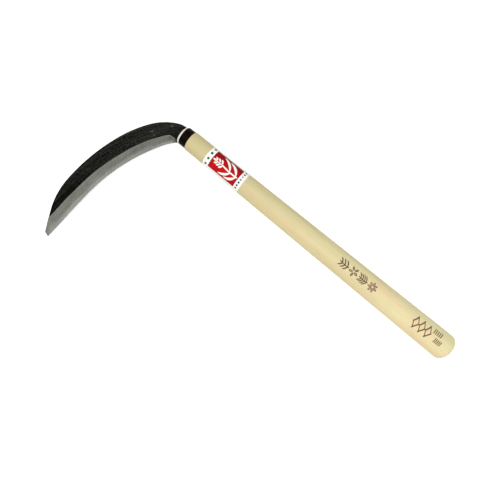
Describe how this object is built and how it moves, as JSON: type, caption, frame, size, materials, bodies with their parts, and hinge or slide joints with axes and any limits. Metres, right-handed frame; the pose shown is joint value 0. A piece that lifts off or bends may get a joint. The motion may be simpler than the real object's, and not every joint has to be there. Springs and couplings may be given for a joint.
{
  "type": "hand sickle",
  "caption": "Short-handled hand sickle with a single-bevel curved forged blade, a tang let into an oval wooden handle, a black ferrule and a paper sleeve on the handle.",
  "frame": {"origin": "middle of the flat end of the handle's butt, on the handle's axis", "axes": "+X along the handle from the butt towards the blade, +Y from the handle towards the blade's tip, in the blade's plane, +Z out of the face with the ground bevel; the blade's flat back faces -Z"},
  "size_m": [0.5312, 0.2357, 0.0318],
  "materials": {
    "forge_scale": "black forge scale, satin, with faint lengthwise streaks",
    "edge_steel": "ground, dull grey",
    "wood": "pale straight-grained wood, sanded, unvarnished",
    "black_ring": "blackened steel, satin",
    "wedge_iron": "dark iron, rough",
    "paper": "white paper with a printed red panel"
  },
  "bodies": {
    "root": {"blade": "forge_scale", "edge_steel": "edge_steel", "handle": "wood", "ferrule": "black_ring", "wedge": "wedge_iron", "label_sleeve": "paper"}
  },
  "joints": []
}
